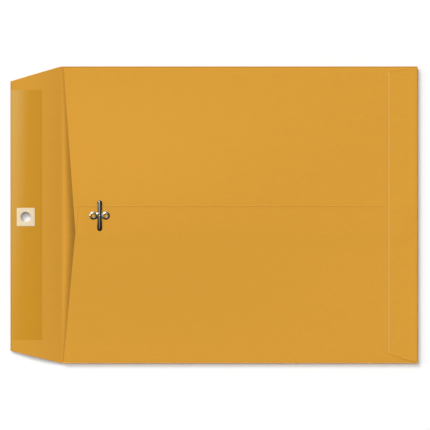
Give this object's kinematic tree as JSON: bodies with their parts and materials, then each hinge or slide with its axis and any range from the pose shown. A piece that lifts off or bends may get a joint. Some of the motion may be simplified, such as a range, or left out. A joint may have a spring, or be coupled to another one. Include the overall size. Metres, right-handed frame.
{
  "type": "clasp envelope",
  "caption": "Flat kraft paper envelope whose gummed end flap, with a patched eyelet, folds over the seamed back and is held by a metal clasp with bendable prongs.",
  "frame": {"origin": "middle of the body's front panel, on its outer face, which lies on the table", "axes": "+X from the flap to the bottom along the length, +Y to the right side as seen from the clasp side with the flap up, +Z out of the clasp side"},
  "size_m": [0.3488, 0.254, 0.0082],
  "materials": {
    "kraft": "uncoated golden kraft paper",
    "gum": "dried remoistenable gum, satin",
    "patch": "cream patch board, matt",
    "tinplate": "bright tinplate"
  },
  "bodies": {
    "envelope": {"front_panel": "kraft", "right_side_fold": "kraft", "left_side_fold": "kraft", "bottom_fold": "kraft", "under_back_panel": "kraft", "over_back_panel": "kraft", "bottom_flap": "kraft", "seam_gum": "gum", "bottom_gum": "gum", "clasp_base": "tinplate"},
    "flap": {"closing_flap": "kraft", "flap_gum": "gum", "eyelet_patch": "patch"},
    "right_prong": {"right_prong": "tinplate"},
    "left_prong": {"left_prong": "tinplate"}
  },
  "joints": [
    {"name": "flap_fold", "type": "hinge", "parent": "envelope", "child": "flap", "pos_m": [-0.15105, 0, 0.00347], "axis": [0, 1, 0], "range_deg": [0, 172]},
    {"name": "right_prong_bend", "type": "hinge", "parent": "envelope", "child": "right_prong", "pos_m": [-0.11935, 0.0007, 0.0076], "axis": [1, 0, 0], "range_deg": [0, 90]},
    {"name": "left_prong_bend", "type": "hinge", "parent": "envelope", "child": "left_prong", "pos_m": [-0.11935, -0.0021, 0.0076], "axis": [-1, 0, 0], "range_deg": [0, 90]}
  ]
}
